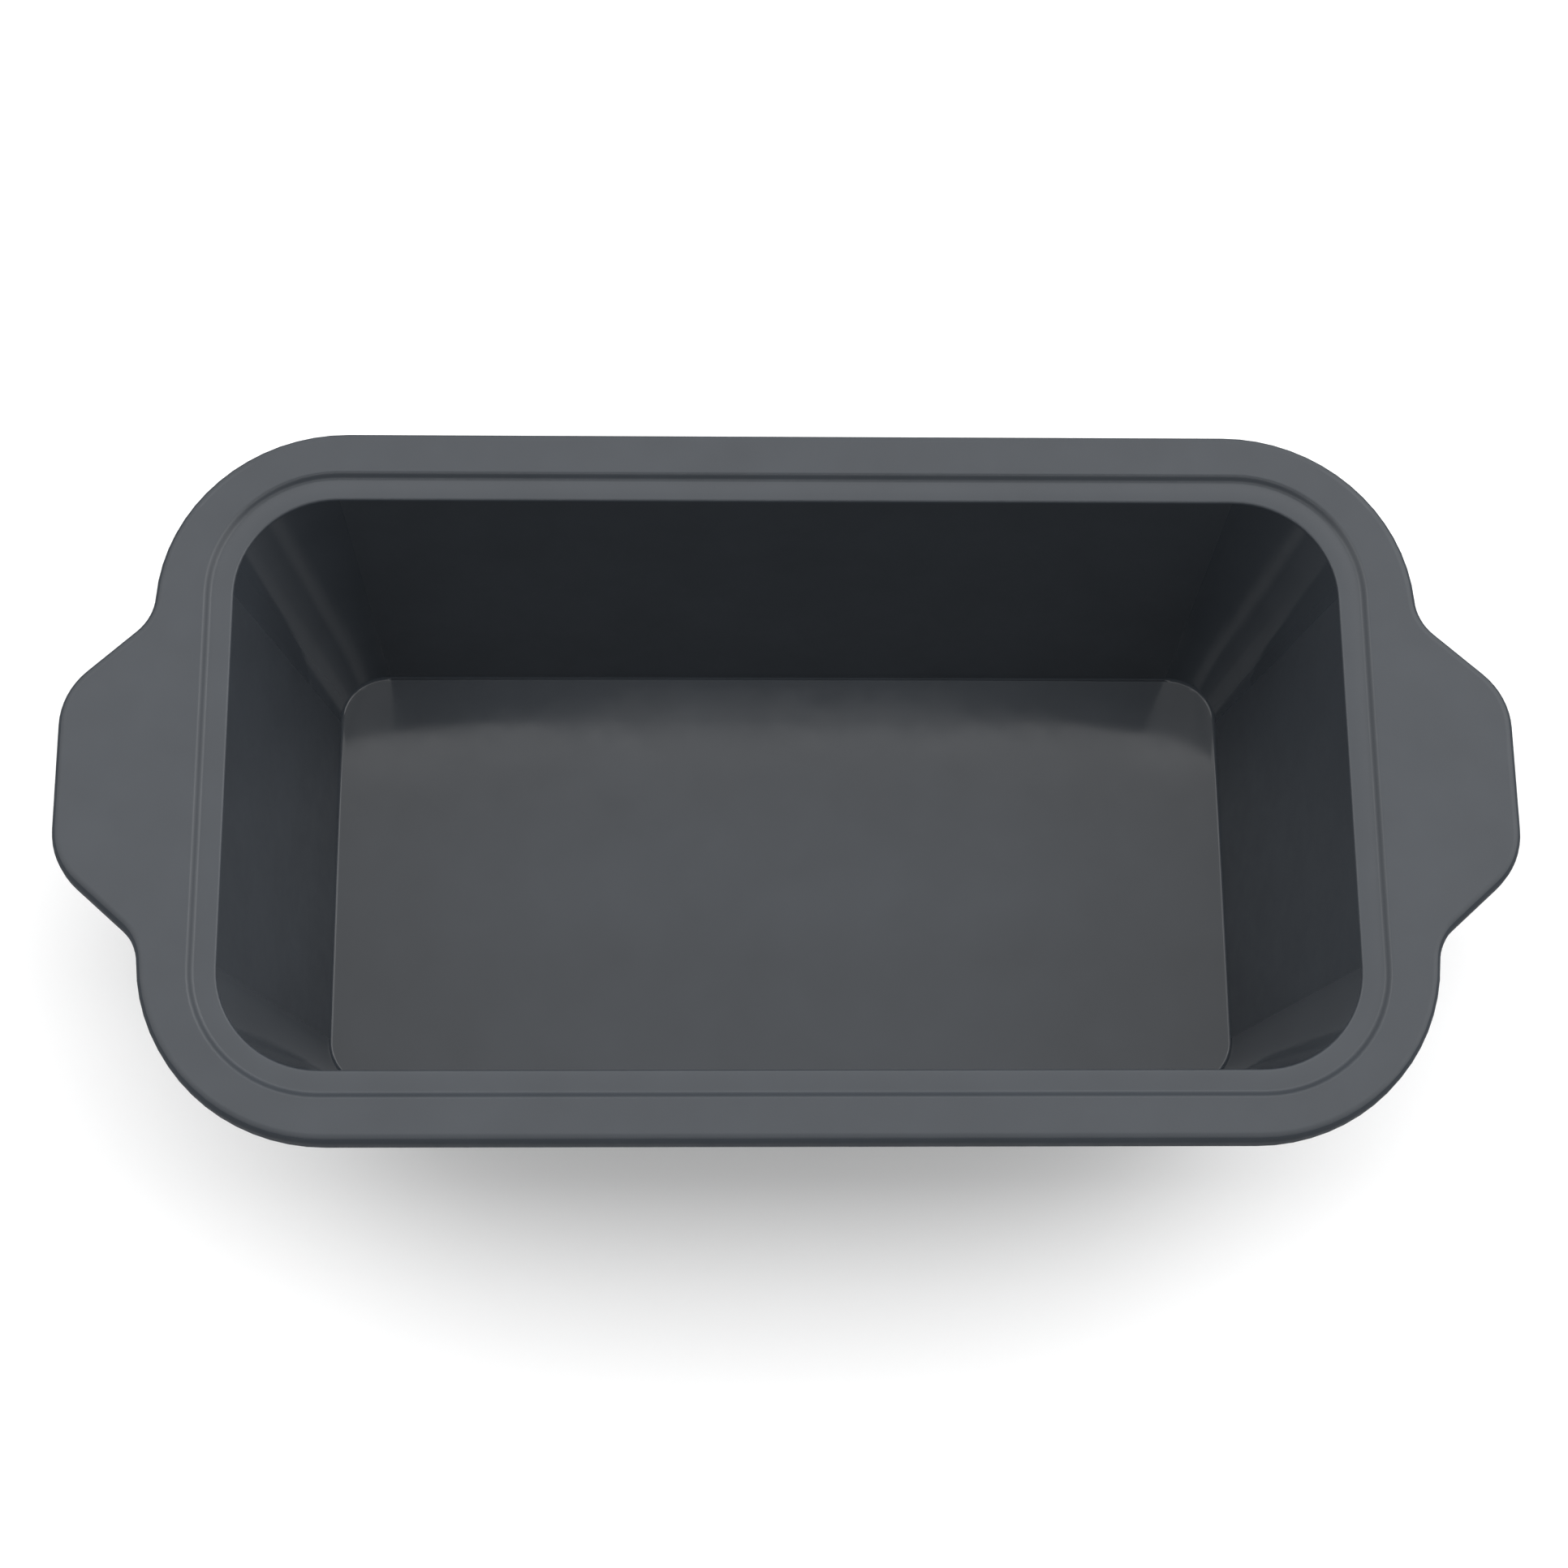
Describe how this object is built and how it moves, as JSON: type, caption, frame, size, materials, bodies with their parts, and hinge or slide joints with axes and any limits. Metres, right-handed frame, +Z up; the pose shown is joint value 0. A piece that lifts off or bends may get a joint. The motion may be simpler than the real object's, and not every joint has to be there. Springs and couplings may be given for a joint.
{
  "type": "loaf pan",
  "caption": "Oblong moulded silicone loaf pan with leaning walls, a lowered ledge round its mouth, a wide flange stiffened by a steel ring inside, and a grip at each end.",
  "frame": {"origin": "middle of the underside that the pan stands on", "axes": "+X along the pan's length towards one grip, +Y across its width, +Z up out of the mouth"},
  "size_m": [0.2806, 0.143, 0.0692],
  "materials": {
    "silicone": "dark grey food silicone: polished inside the cavity, fine satin on the flange, grips and outside",
    "frame_steel": "stamped cold-rolled stainless sheet"
  },
  "bodies": {
    "root": {"pan_body": "silicone", "rim_frame": "frame_steel"}
  },
  "joints": []
}
